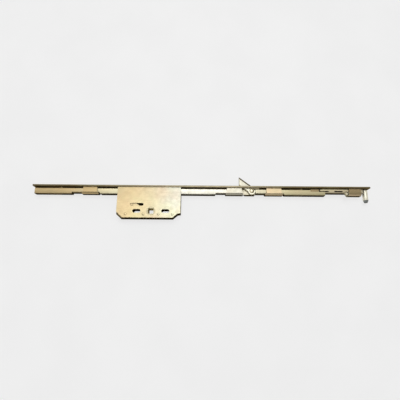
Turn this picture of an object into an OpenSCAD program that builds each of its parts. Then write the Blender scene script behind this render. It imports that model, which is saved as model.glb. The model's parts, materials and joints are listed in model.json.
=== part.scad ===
// Cremone bolt for a window or door edge: a rack gearbox behind a long faceplate,
// one drive bar that slides in guide straps, a swinging hook and an end rod.
// X runs along the faceplate, Y points out of the leaf edge and Z is square to the leaf.
// The origin is on the spindle axis, half-way through the gearbox.
// The model stands in the locked position, with the hook out.

/* [Faceplate] */
// From the spindle to the left end of the faceplate
faceplate_left = 180; // [165:1:220]
// From the spindle to the right end of the faceplate
faceplate_right = 330; // [316:1:380]
// Width of the faceplate
faceplate_w = 18; // [17:0.5:24]
// Thickness of the faceplate
faceplate_t = 2.5; // [2.2:0.1:3.5]
// Radius of the faceplate's front edges
faceplate_edge = 0.8; // [0.3:0.1:1.2]
// From the spindle to the front of the faceplate
backset = 40; // [38:1:60]
// From the faceplate's left end to the left fixing screw
fixing_in_left = 40; // [25:1:42]
// From the faceplate's right end to the right fixing screw
fixing_in_right = 102; // [96:1:106]
// Diameter of a fixing screw hole
fixing_d = 4.5; // [4:0.1:5]
// Diameter of a fixing screw's countersink
fixing_head_d = 7.5; // [7:0.1:8.5]

/* [Handle] */
// Width of the square spindle socket
spindle_sq = 8; // [7:0.5:9]
// Distance between the two handle screws
screw_spacing = 43; // [38:0.5:50]
// Height of a handle screw slot
screw_slot_h = 5.6; // [5.2:0.2:8]
// Length of a handle screw slot
screw_slot_len = 12; // [9:0.5:14]

/* [Gearbox] */
// From the spindle to the left side of the gearbox
case_left = 51.4; // [46:0.2:60]
// From the spindle to the right side of the gearbox
case_right = 44; // [40:0.5:54]
// From the spindle to the bottom of the gearbox
case_below = 10; // [9.6:0.2:16]
// Thickness of the gearbox
case_t = 14; // [13:0.5:16]
// Thickness of the gearbox plates and walls
plate_t = 1.5; // [1.2:0.1:2]
// Width of the corner cut at the lower left
left_cut_w = 9.2; // [5:0.1:10]
// Height of the corner cut at the lower left
left_cut_h = 8.6; // [5:0.1:9]
// How much smaller the case's lower left corner cut is than the cover's
case_ear = 3.6; // [0:0.1:4]
// Width of the corner cut at the lower right
right_cut_w = 7.4; // [4:0.1:8]
// Height of the corner cut at the lower right
right_cut_h = 6.2; // [4:0.1:7]
// Width of the small ledge above the right corner cut
right_ledge_w = 4.5; // [1.5:0.1:5]
// Height of the small ledge above the right corner cut
right_ledge_h = 0.7; // [0.5:0.1:1.5]
// Radius of a gearbox rivet
case_rivet_r = 1.5; // [1.2:0.1:1.8]
// Radius of a gearbox rivet's head
case_rivet_head_r = 2; // [1.9:0.1:2.4]
// Height of a gearbox rivet's head
case_rivet_head_h = 0.35; // [0.2:0.05:0.6]
// From the spindle down to the row of gearbox rivets
case_rivet_drop = 4.8; // [4:0.1:5.5]
// From the spindle to the outer left gearbox rivet
case_rivet_left = 37.9; // [34:0.1:39]
// From the spindle to the outer right gearbox rivet
case_rivet_right = 32; // [31:0.1:33]
// Wall of the tubular posts round the handle screws
post_wall = 1; // [0.8:0.1:1.5]
// Length of a tenon that joins the gearbox to the faceplate
case_tenon_len = 10; // [6:0.5:14]
// From the side of the gearbox to the middle of a tenon
case_tenon_in = 14; // [10:0.5:16]
// How far a tenon stops short of the faceplate's front
tenon_short = 0.4; // [0.2:0.1:0.8]
// Left edges of the windows in the gearbox floor
floor_window_left = [-34.8, -9.7, 3.6, 14]; // [-40:0.1:30]
// Lengths of the windows in the gearbox floor
floor_window_len = [13.4, 4.5, 3, 3.7]; // [2:0.1:14]
// Width of the windows in the gearbox floor
floor_window_w = 6; // [4:0.5:8]

/* [Gearing] */
// Module of the rack and pinion
gear_module = 1.5; // [1.3:0.05:1.6]
// Teeth on a whole pinion of this size
gear_teeth = 12; // [12:1:13]
// Teeth that the pinion sector really has
sector_teeth = 5; // [5:1:6]
// Pressure angle
pressure_angle = 25; // [22:0.5:27]
// Play between the tooth flanks
backlash = 0.2; // [0.15:0.01:0.3]
// Wall of the hub round the spindle's corners
hub_wall = 0.9; // [0.7:0.1:1.1]
// How far the hub's shoulder stands out inside the plates
hub_shoulder = 0.55; // [0.4:0.05:0.7]
// Room between the hub's shoulder and a plate
shoulder_room = 0.2; // [0.1:0.05:0.3]
// Thickness of the rack plate
rack_t = 4; // [3:0.1:4.5]
// From the spindle to the left end of the rack plate
rack_left = 34; // [32:0.5:36]
// From the spindle to the right end of the rack plate
rack_right = 10; // [8:0.5:14]
// Length of the tail at the rack plate's left end
rack_tail_len = 9.5; // [8:0.1:10]
// From the slider pin to the right end of the raised pad
pad_right = 11.4; // [10:0.1:12]
// From the slider pin to the top of the raised pad
pad_up = 4; // [3.5:0.1:5]
// From the spindle to the left and right rack tenon
rack_tenon_at = [-24, 2]; // [-28:0.5:5]
// Length of a rack tenon
rack_tenon_len = 8; // [6:0.5:9]
// Height of a rack tenon
rack_tenon_h = 4; // [3.6:0.1:4.4]
// Wall left in the bar in front of and behind a rack tenon
rack_tenon_wall = 0.5; // [0.4:0.1:0.8]
// From the spindle to the slider pin, in X
slider_pin_left = 29.2; // [28.5:0.1:30.5]
// From the spindle up to the slider pin, in Y
slider_pin_up = 10; // [9.8:0.1:11]
// Radius of the slider pin's head
slider_pin_r = 1.95; // [1.6:0.05:2.2]
// How much the slider pin's shank is thinner, on the radius
slider_pin_step = 0.45; // [0.3:0.05:0.6]
// How far the cover's slot runs on past the slider pin's travel
slot_run_on = 1.5; // [0:0.1:2.5]
// Radius of the pins that join rack and bar
rack_pin_r = 1.5; // [1.2:0.1:1.8]

/* [Drive bar] */
// Height of the drive bar
bar_h = 9.4; // [8.8:0.1:10]
// Width of the drive bar
bar_w = 9; // [8.5:0.1:9.8]
// Radius of the drive bar's long edges
bar_edge = 1.4; // [0.5:0.1:1.6]
// Gap between drive bar and faceplate
bar_gap = 1.3; // [1:0.1:1.6]
// Gap between the left ends of faceplate and drive bar
bar_inset = 2; // [0:0.5:8]
// From the faceplate's right end to the right end of the drive bar
bar_in_right = 67.5; // [64:0.5:70]
// How far the bar is cut away under a guide strap
neck_rise = 1.6; // [1.4:0.1:2]
// Slant of the left end of such a cut
neck_slant = 0.4; // [0.2:0.1:1]
// Further room at the right end of such a cut
neck_room = 0.6; // [0.3:0.1:1]

/* [Guide straps] */
// Thickness of the strap sheet
strap_t = 1.4; // [1.2:0.1:1.6]
// Height of the bevel along the outer edges of a strap
strap_bevel_h = 2; // [1.6:0.1:2.4]
// Width of the bevel along the outer edges of a strap
strap_bevel_w = 3.2; // [2.8:0.1:3.6]
// Height of the upright rim above a strap's bevel
strap_foot_rim = 0.2; // [0.1:0.1:0.6]
// How much longer a strap's foot is than its walls, at each end
strap_lip = 2; // [0.5:0.1:3]
// Length of a strap's tenon in the faceplate
strap_tenon_len = 9; // [5:0.5:12]
// Middle of strap 1 in X
strap_1_x = -93.5; // [-97:0.5:-90]
// Length of strap 1
strap_1_len = 25.4; // [22:0.2:28]
// Middle of strap 2 in X
strap_2_x = 124.9; // [120:0.1:125.5]
// Length of strap 2
strap_2_len = 26.6; // [22:0.2:27.2]
// Middle of strap 3 in X
strap_3_x = 184.8; // [184:0.1:187]
// Length of strap 3
strap_3_len = 26.8; // [22:0.2:28]
// From the faceplate's right end to the middle of strap 4
strap_4_in = 22.3; // [21:0.1:24]
// Length of strap 4
strap_4_len = 19.2; // [17:0.2:20]
// How much longer strap 4's foot is than its walls, at each end
strap_4_lip = 0.4; // [0.2:0.1:1.5]

/* [Hook] */
// Pivot of the hook in X
hook_x = 151.6; // [150:0.1:152]
// How far the hook's pivot lies above the middle of the drive bar
hook_rise = 2; // [1.5:0.1:2.2]
// Width of the hook blade
hook_w = 10.4; // [9.6:0.1:10.6]
// How much larger the radius of the hook's root is than half the blade's width
hook_root_step = 0.2; // [0.1:0.05:0.3]
// How far the blade's middle lies off its pivot, towards the faceplate
hook_shift = 1.2; // [0.8:0.1:1.3]
// Thickness of the hook blade
hook_t = 4.5; // [4:0.1:5]
// From the pivot to the tip, along the blade
hook_reach = 28.6; // [25:0.1:29]
// Angle between the blade and the drive bar when it is out
hook_out_angle = 37; // [35:0.5:38]
// Length of the flat on the hook's root that slides under the faceplate
hook_flat_len = 2.5; // [2:0.1:5]
// Room between that flat and the faceplate when the hook is in
hook_flat_room = 0.5; // [0.4:0.1:0.8]
// How far the hook lies behind the front of the drive bar
hook_recess = 0.2; // [0:0.1:0.5]
// Room at each end of the hook's slot in the faceplate
hook_slot_room = 0.6; // [0.4:0.1:0.8]
// From the line of the root's flat out to the bevel along the back of the blade
hook_bevel_out = 0.3; // [0.1:0.1:1.2]
// Depth of the bevel along the back of the blade
hook_bevel_t = 2; // [1:0.1:2.5]
// Radius of the hook pin
hook_pin_r = 2; // [1.6:0.1:2.3]
// Radius of the hook pin's head
hook_head_r = 3; // [2.6:0.1:3.4]
// Height of the hook pin's head
hook_head_h = 0.8; // [0.5:0.1:1.2]

/* [End rod] */
// Height of the end rod
rod_h = 6.1; // [5.6:0.1:6.6]
// Width of the end rod
rod_w = 8; // [7.4:0.1:8.6]
// Length of the half-lap between bar and rod
lap_len = 13.5; // [13:0.1:15]
// Thickness of the bar's ledge under the half-lap
lap_ledge = 0.8; // [0.6:0.1:1.2]
// Length of the free upper nose of the rod
nose_len = 8; // [6:0.1:8.2]
// Slant of the free upper nose
nose_slant = 2.5; // [1:0.1:3]
// Gap between the rod and the faceplate
rod_gap = 0.6; // [0.4:0.1:0.8]
// From the tip of the nose to the first slot in the rod
rod_slot_in = 2.1; // [1:0.1:3]
// From the underside of the rod up to its slots
rod_slot_up = 1.7; // [1.4:0.1:2]
// Length of the first slot in the rod
rod_slot_1_len = 12.2; // [10:0.1:13]
// Length of the second slot in the rod
rod_slot_2_len = 12.9; // [11:0.1:14]
// Height of the slots in the rod
rod_slot_h = 1.9; // [1.5:0.1:2.2]
// Gap between the two slots in the rod
rod_slot_gap = 8.1; // [6:0.1:8.5]
// Length of the coupling block on the bar
coupling_len = 12.5; // [11:0.1:13]
// Height of the coupling block
coupling_h = 4.1; // [3.8:0.1:4.4]
// Gap between the coupling block and the rod's nose
coupling_gap = 0.8; // [0.5:0.1:1.2]
// Radius of the small rivets at the bar's end
lap_rivet_r = 1.4; // [1:0.1:1.6]
// From the underside of the rod down to the middle of the guide stud
stud_drop = 1.8; // [1.4:0.1:2]
// Radius of the guide stud's head and of the ear behind it
stud_head_r = 3.1; // [2.8:0.1:3.4]
// Height of the guide stud's head
stud_head_h = 1; // [0.6:0.1:1.4]
// Radius of the guide stud's shank
stud_shank_r = 1.6; // [1.3:0.1:1.8]
// Gap between the guide stud's head and strap 4
stud_gap = 0.6; // [0.4:0.1:1]

/* [End bolt] */
// How far the rod stands out past strap 4
rod_past = 3.1; // [2.6:0.1:4]
// Gap between the rod's end and the end bolt
bolt_gap = 1; // [0.5:0.1:2]
// Radius of the end bolt
bolt_r = 3.75; // [3.2:0.05:4.2]
// Length of the end bolt down to its taper
bolt_len = 16.2; // [14:0.1:20]
// Length of the end bolt's taper
bolt_taper = 3.6; // [2:0.1:5]
// Radius of the end bolt's tip
bolt_tip_r = 2.4; // [1.8:0.1:3]
// Thickness of the tongue that joins bolt and rod
bolt_tongue_t = 3; // [2.4:0.1:3.6]
// Length of the tongue inside the rod
bolt_tongue_len = 5.5; // [5:0.1:6.5]
// Step from the top and underside of the rod to the tongue
bolt_tongue_step = 1; // [0.6:0.1:1.2]
// Radius of the rivet that joins bolt and rod
bolt_rivet_r = 1.2; // [1:0.1:1.4]
// Radius of that rivet's heads
bolt_rivet_head_r = 1.7; // [1.5:0.1:1.8]
// Height of that rivet's heads
bolt_rivet_head_h = 0.5; // [0.3:0.1:0.7]
// From the rod's end to that rivet
bolt_rivet_in = 1.9; // [1.8:0.1:2.4]

/* [Fits] */
// Room round a sliding piece
slide_fit = 0.3; // [0.25:0.01:0.4]
// Room round a turning piece, on the radius
turn_fit = 0.05; // [0.03:0.01:0.08]
// Room round a fixed pin or tenon
seat_fit = 0.02; // [0.01:0.01:0.04]
// Room at each end of the bar's travel
travel_room = 1; // [0.7:0.1:1.2]

/* [Hidden] */
$fn = 64;

// How far a cut runs past the face it opens
past = 1;
// Depth of the dimple in the heads of the two pins
pin_dimple = 0.6;
// Levels across the faceplate and the bar
plate_back = backset - faceplate_t;
fixing_x = [fixing_in_left - faceplate_left, faceplate_right - fixing_in_right];
bar_top = plate_back - bar_gap;
bar_bottom = bar_top - bar_h;
bar_mid = bar_top - bar_h / 2;
bar_left_x = bar_inset - faceplate_left;
bar_right = faceplate_right - bar_in_right;
bar_front = bar_w / 2;
neck_bottom = bar_bottom + neck_rise;

// Gear sizes for a quarter turn of the spindle
pitch_r = gear_module * gear_teeth / 2;
stroke = pitch_r * PI / 2;
tooth_pitch = PI * gear_module;
addendum = 0.8 * gear_module;
dedendum = gear_module;
tip_r = pitch_r + addendum;
root_r = pitch_r - dedendum;
base_r = pitch_r * cos(pressure_angle);
rack_root_y = pitch_r + dedendum;
rack_tip_y = pitch_r - addendum;
flank_steps = 5;
// How deep the teeth are drawn into the pinion's body
tooth_root_sink = 0.5;

// Gearbox levels
case_front = case_t / 2;
inner_front = case_front - plate_t;
hub_r = spindle_sq / sqrt(2) + hub_wall;
shoulder_r = hub_r + hub_shoulder;
// The inner rivets pass just outside the pinion's teeth
case_rivet_inner = sqrt(pow(tip_r + case_rivet_r + 1.5 * slide_fit, 2) - pow(case_rivet_drop, 2));
case_rivet_x = [-case_rivet_left, -case_rivet_inner, case_rivet_inner, case_rivet_right];
case_tenon_x = [case_tenon_in - case_left, case_right - case_tenon_in];
tenon_depth = faceplate_t - tenon_short;

// Rack slider places
tail_bottom = rack_tip_y - slide_fit;
tail_right_x = rack_tail_len - rack_left;
tooth_first = -4;
tooth_last = 1;
pad_right_x = pad_right - slider_pin_left;
pad_top = slider_pin_up + pad_up;
pad_front = inner_front - slide_fit;
slider_pin_shank_r = slider_pin_r - slider_pin_step;
slider_slot_h = 2 * slider_pin_r + slide_fit;
slider_slot_len = stroke + slider_slot_h + 2 * slide_fit + slot_run_on;
slider_slot_x = (stroke + slot_run_on) / 2 - slider_pin_left;
rack_pin_y = bar_bottom + rack_tenon_h / 2;

// Strap section
strap_in = bar_front + slide_fit;
strap_out = strap_in + strap_t;
strap_inner_y = neck_bottom - slide_fit;
strap_outer_y = strap_inner_y - strap_t;
bevel_len = norm([strap_bevel_h, strap_bevel_w]);
// How far the corners of a strap's bevel move up and in when its outline is set in by d
function bevel_up(d) = d * (bevel_len - strap_bevel_h) / strap_bevel_w;
function bevel_in(d) = d * (bevel_len - strap_bevel_w) / strap_bevel_h;
strap_bevel_y = strap_outer_y + strap_bevel_h;
strap_foot_y = strap_bevel_y + bevel_up(strap_t) + strap_foot_rim;
strap_mid = (strap_in + strap_out) / 2;
strap_4_x = faceplate_right - strap_4_in;
strap_4_right = strap_4_x + strap_4_len / 2;
strap_4_left = strap_4_x - strap_4_len / 2;
bar_straps = [[strap_1_x, strap_1_len], [strap_2_x, strap_2_len], [strap_3_x, strap_3_len]];

// Hook levels
hook_front = bar_front - hook_recess;
hook_back = hook_front - hook_t;
hook_y = bar_mid + hook_rise;
hook_half = hook_w / 2;
hook_root_r = hook_half + hook_root_step;
hook_edge = hook_half + hook_shift;
hook_flat_y = plate_back - hook_y - hook_flat_room;
hook_bevel_w = hook_edge - hook_flat_y - hook_bevel_out;
pocket_floor = hook_back - slide_fit;
// The nose is cut so that it stands square to the faceplate when the hook is out
hook_cut_x = hook_edge * sin(hook_out_angle) - hook_reach * cos(hook_out_angle);
hook_low = -(hook_cut_x + (hook_w - hook_edge) * sin(hook_out_angle)) / cos(hook_out_angle);
hook_slot_left = hook_x + hook_cut_x - hook_slot_room;
hook_slot_right = hook_x + stroke - hook_flat_len + hook_slot_room;

// End rod levels
rod_top = plate_back - rod_gap;
rod_bottom = rod_top - rod_h;
rod_mid = rod_top - rod_h / 2;
rod_front = rod_w / 2;
rod_right_x = strap_4_right + rod_past;
nose_x = bar_right - nose_len;
rod_slot_bottom = rod_bottom + rod_slot_up;
rod_slot_1_x = nose_x + rod_slot_in;
rod_slot_2_x = rod_slot_1_x + rod_slot_1_len + rod_slot_gap;
nose_bottom = rod_slot_bottom + rod_slot_h;
shelf_y = rod_top - coupling_h;
lap_bottom = bar_bottom + lap_ledge;
lap_rivet_x = [bar_right - lap_len * 3 / 4, bar_right - lap_len / 4];
lap_rivet_y = (lap_bottom + shelf_y) / 2;
coupling_left_x = nose_x - coupling_gap - coupling_len;
coupling_rivet_x = coupling_left_x + coupling_len / 3;
coupling_rivet_seat = bar_bottom + lap_rivet_r / 2;
coupling_rivet_head_r = lap_rivet_r * 1.6;
stud_x = strap_4_left - stud_gap - stud_head_r;
stud_y = rod_bottom - stud_drop;
bolt_x = rod_right_x + bolt_gap + bolt_r;
bolt_rivet_x = rod_right_x - bolt_rivet_in;

// Draws a Y-Z outline from x0 to x1
module along_x(x0, x1) {
    translate([x0, 0, 0]) rotate([90, 0, 90]) linear_extrude(x1 - x0) children();
}

// Draws an X-Y outline from z0 to z1
module along_z(z0, z1) {
    translate([0, 0, z0]) linear_extrude(z1 - z0) children();
}

module rod_z(x, y, z0, z1, r) {
    translate([x, y, z0]) cylinder(h = z1 - z0, r = r);
}

module rod_y(x, z, y0, y1, r) {
    translate([x, y0, z]) rotate([-90, 0, 0]) cylinder(h = y1 - y0, r = r);
}

module block(from, to) {
    translate(from) cube(to - from);
}

module round_rect(w, h, r) {
    square([w - 2 * r, h], center = true);
    square([w, h - 2 * r], center = true);
    for (x = [-1, 1], y = [-1, 1])
        translate([x * (w / 2 - r), y * (h / 2 - r)]) circle(r);
}

// A slot with round ends, length along X
module obround(len, h) {
    square([len - h, h], center = true);
    for (x = [-1, 1]) translate([x * (len - h) / 2, 0]) circle(h / 2);
}

// Tenons on two walls at +z and -z, and the mortises that take them
module wall_tenons(x, len, wall_mid, wall_t, z_sides, room = 0) {
    for (side = z_sides)
        block([x - len / 2 - room, plate_back - past, side * wall_mid - wall_t / 2 - room],
            [x + len / 2 + room, plate_back + tenon_depth + (room > 0 ? past : 0),
            side * wall_mid + wall_t / 2 + room]);
}

module faceplate_section() {
    r = faceplate_edge;
    translate([plate_back, -faceplate_w / 2]) square([faceplate_t - r, faceplate_w]);
    translate([plate_back, r - faceplate_w / 2]) square([faceplate_t, faceplate_w - 2 * r]);
    for (z = [-1, 1]) translate([backset - r, z * (faceplate_w / 2 - r)]) circle(r);
}

module fixing_hole(x) {
    sink = (fixing_head_d - fixing_d) / 2;
    rod_y(x, 0, plate_back - past, backset + past, fixing_d / 2);
    translate([x, backset - sink, 0]) rotate([-90, 0, 0])
        cylinder(h = sink + past, r1 = fixing_d / 2, r2 = fixing_head_d / 2 + past);
}

module faceplate() {
    color("#cbb98a") difference() {
        along_x(-faceplate_left, faceplate_right) faceplate_section();
        for (x = fixing_x) fixing_hole(x);
        block([hook_slot_left, plate_back - past, hook_back - 2 * slide_fit],
            [hook_slot_right, backset + past, hook_front + 2 * slide_fit]);
        for (s = concat(bar_straps, [[strap_4_x, strap_4_len]]))
            wall_tenons(s[0], strap_tenon_len, strap_mid, strap_t, [-1, 1], seat_fit);
        for (x = case_tenon_x)
            wall_tenons(x, case_tenon_len, case_front - plate_t / 2, plate_t, [-1, 1], seat_fit);
    }
}

// Corners of the gearbox, counter-clockwise from its top left corner
function case_corners(top, ear) =
    let (ledge_x = case_right - right_ledge_w, ledge_y = right_cut_h - case_below)
    [[-case_left, top], [-case_left, left_cut_h - ear - case_below],
    [left_cut_w - ear - case_left, -case_below],
    [ledge_x - right_cut_w, -case_below], [ledge_x, ledge_y], [case_right, ledge_y + right_ledge_h],
    [case_right, top]];

// Moves the sides of a counter-clockwise outline inwards by a wall
function side_normal(a, b) = [a[1] - b[1], b[0] - a[0]] / norm(b - a);
function inner_corner(a, b, c, wall) = let (n = side_normal(a, b), m = side_normal(b, c))
    b + wall * (n + m) / (1 + n * m);
function inner_corners(p, wall) = let (n = len(p))
    [for (i = [0:n - 1]) inner_corner(p[(i + n - 1) % n], p[i], p[(i + 1) % n], wall)];

module case_outline(ear) {
    polygon(case_corners(plate_back, ear));
}

module case_inside() {
    polygon(inner_corners(case_corners(plate_back + 2 * plate_t, 0), plate_t));
}

module screw_slots() {
    for (x = [-1, 1]) translate([x * screw_spacing / 2, 0]) obround(screw_slot_len, screw_slot_h);
}

// What both gearbox plates share: hub bore, handle screw slots and rivet holes
module plate_holes(z0, z1) {
    rod_z(0, 0, z0, z1, hub_r + turn_fit);
    along_z(z0, z1) screw_slots();
    for (x = case_rivet_x) rod_z(x, -case_rivet_drop, z0, z1, case_rivet_r + seat_fit);
}

module gearbox_case() {
    color("#c6b27c") difference() {
        union() {
            along_z(-case_front, -inner_front) case_outline(case_ear);
            along_z(-case_front, inner_front) difference() {
                case_outline(case_ear);
                case_inside();
            }
            for (x = case_tenon_x) wall_tenons(x, case_tenon_len, case_front - plate_t / 2, plate_t, [-1]);
        }
        plate_holes(-case_front - past, -inner_front + past);
        block([-case_left - past, bar_bottom - slide_fit, -bar_front - slide_fit],
            [case_right + past, plate_back + past, inner_front + past]);
        for (i = [0:len(floor_window_left) - 1]) translate([floor_window_left[i], 0, 0])
            block([0, -case_below - past, -floor_window_w / 2],
                [floor_window_len[i], plate_t + past - case_below, floor_window_w / 2]);
    }
}

module gearbox_cover() {
    color("#e6d5a2") difference() {
        union() {
            along_z(inner_front, case_front) case_outline(0);
            for (x = case_tenon_x) wall_tenons(x, case_tenon_len, case_front - plate_t / 2, plate_t, [1]);
        }
        plate_holes(inner_front - past, case_front + past);
        along_z(inner_front - past, case_front + past)
            translate([slider_slot_x, slider_pin_up]) obround(slider_slot_len, slider_slot_h);
    }
}

module gearbox_rivets() {
    color("#b9a873") for (x = case_rivet_x) {
        rod_z(x, -case_rivet_drop, -case_front, case_front, case_rivet_r);
        rod_z(x, -case_rivet_drop, case_front, case_front + case_rivet_head_h, case_rivet_head_r);
        rod_z(x, -case_rivet_drop, -case_front - case_rivet_head_h, -case_front, case_rivet_head_r);
    }
}

module screw_post(side) {
    color("#a8996a") along_z(-inner_front, inner_front) translate([side * screw_spacing / 2, 0])
        difference() {
            obround(screw_slot_len + 2 * post_wall, screw_slot_h + 2 * post_wall);
            obround(screw_slot_len, screw_slot_h);
        }
}

module screw_post_left() { screw_post(-1); }

module screw_post_right() { screw_post(1); }

// Involute function of an angle in degrees, in degrees
function involute(a) = tan(a) * 180 / PI - a;

// Half the angle that a pinion tooth spans at radius r
function tooth_half_angle(r) = 90 / gear_teeth - backlash / 4 / pitch_r * 180 / PI
    + involute(pressure_angle) - involute(acos(min(1, base_r / r)));

function polar(r, a) = [r * cos(a), r * sin(a)];

module pinion_tooth() {
    flank = [for (i = [0:flank_steps]) base_r + (tip_r - base_r) * i / flank_steps];
    radii = concat([root_r - tooth_root_sink], flank);
    last = len(radii) - 1;
    polygon(concat(
        [for (i = [0:last]) polar(radii[i], -tooth_half_angle(max(base_r, radii[i])))],
        [for (i = [last:-1:0]) polar(radii[i], tooth_half_angle(max(base_r, radii[i])))]));
}

module follower_pinion() {
    hub_front = inner_front - shoulder_room;
    color("#d9c78f") difference() {
        union() {
            rod_z(0, 0, -case_front, case_front, hub_r);
            rod_z(0, 0, -hub_front, hub_front, shoulder_r);
            along_z(-rack_t, -shoulder_room / 2) {
                circle(max(root_r, shoulder_r));
                for (i = [0:sector_teeth - 1])
                    rotate(90 - 180 / gear_teeth + i * 360 / gear_teeth) pinion_tooth();
            }
        }
        translate([0, 0, -case_front - past])
            linear_extrude(case_t + 2 * past) square(spindle_sq, center = true);
    }
}

module rack_tooth() {
    lean = tan(pressure_angle);
    half = tooth_pitch / 4 - backlash / 4;
    polygon([[-half - dedendum * lean, rack_root_y], [-half + addendum * lean, rack_tip_y],
        [half - addendum * lean, rack_tip_y], [half + dedendum * lean, rack_root_y],
        [half + dedendum * lean, rack_root_y + past], [-half - dedendum * lean, rack_root_y + past]]);
}

// A tenon on top of the rack plate, and the mortise in the bar that takes it
module rack_tenon(x, room = 0) {
    half = rack_tenon_len / 2 + room;
    block([x - half, bar_bottom - past, rack_tenon_wall - rack_t - room],
        [x + half, bar_bottom + rack_tenon_h + room, room - rack_tenon_wall]);
}

module rack_slider() {
    color("#bfae7c") difference() {
        union() {
            along_z(-rack_t, 0) {
                translate([-rack_left, rack_root_y])
                    square([rack_left + rack_right, bar_bottom - rack_root_y]);
                translate([-rack_left, tail_bottom])
                    square([tail_right_x + rack_left, rack_root_y - tail_bottom + past]);
                for (i = [tooth_first:tooth_last]) translate([i * tooth_pitch, 0]) rack_tooth();
            }
            block([-rack_left, tail_bottom, -past], [pad_right_x, pad_top, pad_front]);
            for (x = rack_tenon_at) rack_tenon(x);
        }
        rod_z(-slider_pin_left, slider_pin_up, -rack_t - past, pad_front + past,
            slider_pin_shank_r + seat_fit);
        for (x = rack_tenon_at) rod_z(x, rack_pin_y, -rack_t - past, past, rack_pin_r + seat_fit);
        rack_notch();
    }
}

// Opens the pad's overhang above the first rack teeth
module rack_notch() {
    block([tail_right_x, tail_bottom - past, -rack_t - past],
        [pad_right_x + past, rack_tip_y - 2 * slide_fit, 0]);
}

module slider_pin() {
    color("#c9b884") translate([-slider_pin_left, slider_pin_up, 0]) difference() {
        union() {
            rod_z(0, 0, -rack_t, pad_front, slider_pin_shank_r);
            rod_z(0, 0, pad_front, case_front, slider_pin_r);
        }
        rod_z(0, 0, case_front - pin_dimple, case_front + past, slider_pin_r / 2);
    }
}

module rack_pins() {
    color("#a8996a") for (x = rack_tenon_at) rod_z(x, rack_pin_y, -bar_front, bar_front, rack_pin_r);
}

// The notch that lets the bar slide through a guide strap
module neck_cut(x, len) {
    x0 = x - len / 2 - stroke - travel_room;
    x1 = x + len / 2 + travel_room + neck_room;
    along_z(-bar_w, bar_w) polygon([
        [x0, neck_bottom], [x1, neck_bottom],
        [x1 + neck_rise, bar_bottom], [x1 + neck_rise, bar_bottom - past],
        [x0 - neck_slant, bar_bottom - past], [x0 - neck_slant, bar_bottom]]);
    set_in = strap_t + slide_fit;
    bevel_top = strap_bevel_y + bevel_up(set_in) + past * strap_bevel_h / strap_bevel_w;
    bevel_low = strap_out - strap_bevel_w - bevel_in(set_in) - past * strap_bevel_w / strap_bevel_h;
    for (side = [-1, 1]) along_x(x0, x1) polygon([
        [neck_bottom - past, side * bevel_low],
        [bevel_top, side * (bar_front + past)],
        [neck_bottom - past, side * (bar_front + past)]]);
}

// Slot that lets the bar slide past a fixing screw
module fixing_slot(x) {
    room = fixing_d / 2 + slide_fit;
    for (end = [x - stroke, x]) rod_y(end, 0, bar_bottom - past, bar_top + past, room);
    block([x - stroke, bar_bottom - past, -room], [x, bar_top + past, room]);
}

module drive_bar() {
    color("#d2bf8c") difference() {
        along_x(bar_left_x, bar_right) translate([bar_mid, 0]) round_rect(bar_h, bar_w, bar_edge);
        for (s = bar_straps) neck_cut(s[0], s[1]);
        block([hook_x - hook_reach - hook_slot_room, bar_bottom - past, pocket_floor],
            [hook_x + hook_root_r + slide_fit, bar_top + past, bar_front + past]);
        rod_z(hook_x, hook_y, -bar_front - past, past, hook_pin_r + seat_fit);
        for (x = fixing_x) fixing_slot(x);
        for (x = rack_tenon_at) {
            rack_tenon(x, seat_fit);
            rod_z(x, rack_pin_y, -bar_w, bar_w, rack_pin_r + seat_fit);
        }
        block([coupling_left_x - slide_fit, shelf_y, -bar_w], [bar_right + past, bar_top + past, bar_w]);
        block([bar_right - lap_len - seat_fit, lap_bottom - seat_fit, -bar_w],
            [bar_right + past, bar_top + past, seat_fit]);
        for (x = lap_rivet_x) rod_z(x, lap_rivet_y, -bar_w, bar_w, lap_rivet_r + seat_fit);
        rod_y(coupling_rivet_x, 0, bar_bottom - past, bar_top + past, lap_rivet_r + seat_fit);
        rod_y(coupling_rivet_x, 0, bar_bottom - past, coupling_rivet_seat,
            coupling_rivet_head_r + seat_fit);
    }
}

// Upright walls of a strap and its bevelled foot, drawn as Y-Z outlines
module strap_walls() {
    for (side = [-1, 1]) translate([strap_bevel_y, side * strap_mid - strap_t / 2])
        square([plate_back - strap_bevel_y, strap_t]);
}

module strap_foot() {
    half = [[strap_foot_y, strap_out], [strap_bevel_y, strap_out],
        [strap_outer_y, strap_out - strap_bevel_w]];
    inner = [[strap_inner_y, strap_out - strap_bevel_w - bevel_in(strap_t)],
        [strap_bevel_y + bevel_up(strap_t), strap_in], [strap_foot_y, strap_in]];
    polygon(concat(half, [for (i = [2:-1:0]) [half[i][0], -half[i][1]]],
        [for (i = [2:-1:0]) [inner[i][0], -inner[i][1]]], inner));
}

module guide_strap(x, len, lip = strap_lip) {
    along_x(x - len / 2 + lip, x + len / 2 - lip) strap_walls();
    along_x(x - len / 2, x + len / 2) strap_foot();
    wall_tenons(x, strap_tenon_len, strap_mid, strap_t, [-1, 1]);
}

module guide_strap_1() { color("#d6c58f") guide_strap(strap_1_x, strap_1_len); }

module guide_strap_2() { color("#d6c58f") guide_strap(strap_2_x, strap_2_len); }

module guide_strap_3() { color("#d6c58f") guide_strap(strap_3_x, strap_3_len); }

// The last strap has an ear at the front that carries the guide stud
module guide_strap_4() {
    ear_len = strap_4_left + strap_4_lip + past - stud_x;
    color("#a08f68") difference() {
        union() {
            guide_strap(strap_4_x, strap_4_len, strap_4_lip);
            rod_z(stud_x, stud_y, strap_in, strap_out, stud_head_r);
            block([stud_x, stud_y, strap_in], [stud_x + ear_len, stud_y + stud_head_r, strap_out]);
        }
        rod_z(stud_x, stud_y, strap_in - past, strap_out + past, stud_shank_r + seat_fit);
    }
}

module guide_stud() {
    color("#d8c9a0") {
        rod_z(stud_x, stud_y, strap_in, strap_out, stud_shank_r);
        rod_z(stud_x, stud_y, strap_out, strap_out + stud_head_h, stud_head_r);
    }
}

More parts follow.
